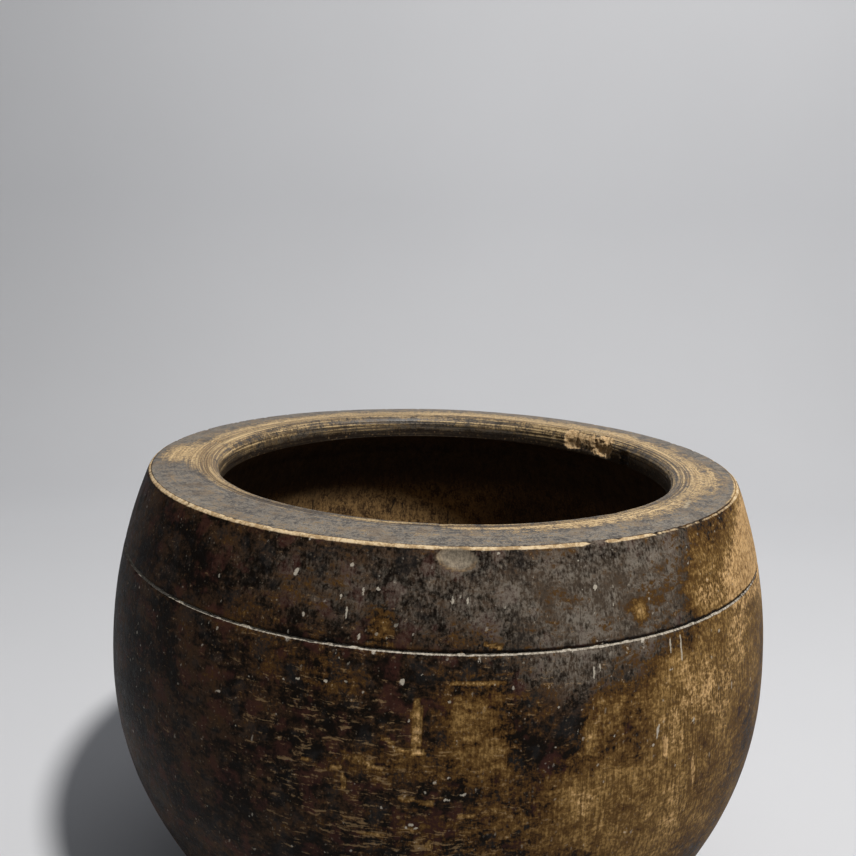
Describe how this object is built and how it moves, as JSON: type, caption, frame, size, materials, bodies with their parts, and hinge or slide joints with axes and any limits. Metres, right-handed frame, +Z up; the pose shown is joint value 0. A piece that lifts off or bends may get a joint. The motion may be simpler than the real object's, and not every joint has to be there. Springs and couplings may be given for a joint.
{
  "type": "turned wooden pot",
  "caption": "Large lathe-turned wooden pot with a bulging wall, a thick flat rim turning in over an undercut hollow, a jointed rim ring and a let-in base board.",
  "frame": {"origin": "centre of the foot's underside, on the surface the pot stands on", "axes": "+Z up along the turning axis; the side with the dent under the rim's edge faces -Y"},
  "size_m": [0.2824, 0.2824, 0.181],
  "materials": {
    "rim_wood": "old dark stain worn to amber round the mouth and pale along the outer edge, dull satin",
    "body_wood": "near-black brown patina over ochre wood, worn and scratched, satin",
    "base_wood": "bare brown wood, dull"
  },
  "bodies": {
    "root": {"rim_ring": "rim_wood", "body": "body_wood", "base_board": "base_wood"}
  },
  "joints": []
}
